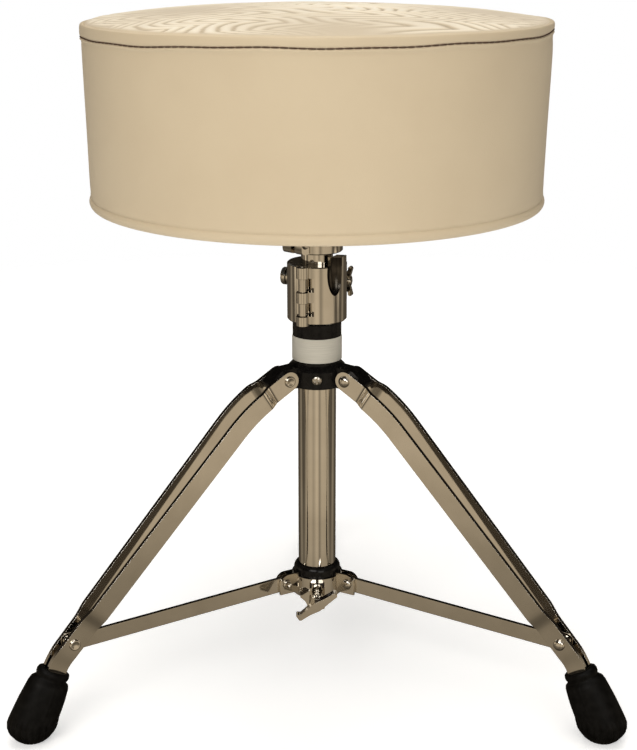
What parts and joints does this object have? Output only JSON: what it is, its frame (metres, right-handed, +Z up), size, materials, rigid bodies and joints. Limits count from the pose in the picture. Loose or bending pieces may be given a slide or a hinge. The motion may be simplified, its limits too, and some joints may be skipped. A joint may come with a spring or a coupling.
{
  "type": "drum throne",
  "caption": "Round padded stool on a height-adjustable post, over a folding tripod of paired flat bars with rubber feet, a sliding brace hub and a hinged clamp.",
  "frame": {"origin": "on the floor under the middle of the whole throne's box; the column stands 48.1 mm forward of it, at Y = -48.1 mm, because the rear leg reaches further back than the cushion reaches forward", "axes": "+Z up along the column; the front, with the clamp's hinge, the hub screw and the wing screw, faces -Y; +X is to the right of someone looking at that front; one leg points straight back along +Y"},
  "size_m": [0.4786, 0.4522, 0.55],
  "materials": {
    "chrome": "polished",
    "black_nylon": "satin",
    "rubber": "matte",
    "label": "satin",
    "plywood": "matte",
    "dust_cloth": "matte",
    "cushion_cover": "satin"
  },
  "bodies": {
    "base": {"base_tube": "chrome", "tube_end_plug": "black_nylon", "tube_guide_bush": "black_nylon", "tripod_hub": "black_nylon", "hub_screw": "chrome", "sleeve_label": "label", "clamp_fixed_half": "chrome", "clamp_hinge_pin": "chrome", "clamp_washer": "chrome"},
    "clamp_gate": {"clamp_swing_half": "chrome"},
    "clamp_bolt": {"clamp_draw_bolt": "chrome"},
    "clamp_nut": {"clamp_wing_nut": "chrome"},
    "post": {"seat_post": "chrome", "post_slide_ring": "black_nylon"},
    "seat": {"seat_collar": "chrome", "pinch_bolt": "chrome", "pinch_nut": "chrome", "seat_plate": "chrome", "plate_screw_1": "chrome", "plate_screw_2": "chrome", "plate_screw_3": "chrome", "plate_screw_4": "chrome", "dust_cloth": "dust_cloth", "seat_board": "plywood", "cushion": "cushion_cover"},
    "lower_hub": {"lower_hub_spider": "chrome", "lower_hub_bush": "black_nylon", "right_clevis_pin": "chrome", "rear_clevis_pin": "chrome", "left_clevis_pin": "chrome"},
    "wing_screw": {"hub_wing_screw": "chrome"},
    "right_leg": {"right_leg_head_bar": "chrome", "right_leg_tail_bar": "chrome", "right_leg_pivot_rivet": "chrome", "right_leg_rivet_head": "chrome", "right_leg_rivet_tail": "chrome", "right_foot": "rubber"},
    "right_brace": {"right_brace": "chrome"},
    "rear_leg": {"rear_leg_head_bar": "chrome", "rear_leg_tail_bar": "chrome", "rear_leg_pivot_rivet": "chrome", "rear_leg_rivet_head": "chrome", "rear_leg_rivet_tail": "chrome", "rear_foot": "rubber"},
    "rear_brace": {"rear_brace": "chrome"},
    "left_leg": {"left_leg_head_bar": "chrome", "left_leg_tail_bar": "chrome", "left_leg_pivot_rivet": "chrome", "left_leg_rivet_head": "chrome", "left_leg_rivet_tail": "chrome", "left_foot": "rubber"},
    "left_brace": {"left_brace": "chrome"}
  },
  "joints": [
    {"name": "post_height", "type": "slide", "parent": "base", "child": "post", "axis": [0, 0, 1], "range_m": [0, 0.14]},
    {"name": "seat_swivel", "type": "hinge", "parent": "post", "child": "seat", "pos_m": [0, -0.0481, 0.38], "axis": [0, 0, 1], "continuous": true},
    {"name": "clamp_swing", "type": "hinge", "parent": "base", "child": "clamp_gate", "pos_m": [-0.01116, -0.06969, 0.328], "axis": [0, 0, 1], "range_deg": [0, 3]},
    {"name": "clamp_bolt_slide", "type": "slide", "parent": "base", "child": "clamp_bolt", "axis": [-0.9397, 0.342, 0], "range_m": [0, 0.0026]},
    {"name": "clamp_nut_spin", "type": "hinge", "parent": "base", "child": "clamp_nut", "pos_m": [0.02412, -0.03006, 0.3314], "axis": [0.9397, -0.342, 0], "continuous": true},
    {"name": "right_leg_fold", "type": "hinge", "parent": "base", "child": "right_leg", "pos_m": [0.02685, -0.0636, 0.2592], "axis": [0.5, 0.866, 0], "range_deg": [0, 42]},
    {"name": "rear_leg_fold", "type": "hinge", "parent": "base", "child": "rear_leg", "pos_m": [0, -0.0171, 0.2592], "axis": [-1, 0, 0], "range_deg": [0, 42]},
    {"name": "left_leg_fold", "type": "hinge", "parent": "base", "child": "left_leg", "pos_m": [-0.02685, -0.0636, 0.2592], "axis": [0.5, -0.866, 0], "range_deg": [0, 42]},
    {"name": "lower_hub_slide", "type": "slide", "parent": "base", "child": "lower_hub", "axis": [0, 0, 1], "range_m": [0, 0.1023]},
    {"name": "wing_screw_spin", "type": "hinge", "parent": "lower_hub", "child": "wing_screw", "pos_m": [0, -0.0781, 0.075], "axis": [0, 1, 0], "continuous": true},
    {"name": "right_brace_fold", "type": "hinge", "parent": "lower_hub", "child": "right_brace", "pos_m": [0.02702, -0.0637, 0.0815], "axis": [0.5, 0.866, 0], "range_deg": [0, 83]},
    {"name": "rear_brace_fold", "type": "hinge", "parent": "lower_hub", "child": "rear_brace", "pos_m": [0, -0.0169, 0.0815], "axis": [-1, 0, 0], "range_deg": [0, 83]},
    {"name": "left_brace_fold", "type": "hinge", "parent": "lower_hub", "child": "left_brace", "pos_m": [-0.02702, -0.0637, 0.0815], "axis": [0.5, -0.866, 0], "range_deg": [0, 83]}
  ],
  "couplings": [
    {"joint": "clamp_bolt_slide", "follows": "clamp_swing", "m_per_rad": 0.0493},
    {"joint": "rear_leg_fold", "follows": "right_leg_fold", "ratio": 1},
    {"joint": "left_leg_fold", "follows": "right_leg_fold", "ratio": 1},
    {"joint": "lower_hub_slide", "follows": "right_leg_fold", "m_per_rad": 0.13945},
    {"joint": "right_brace_fold", "follows": "right_leg_fold", "ratio": 1.976},
    {"joint": "rear_brace_fold", "follows": "right_leg_fold", "ratio": 1.976},
    {"joint": "left_brace_fold", "follows": "right_leg_fold", "ratio": 1.976}
  ]
}
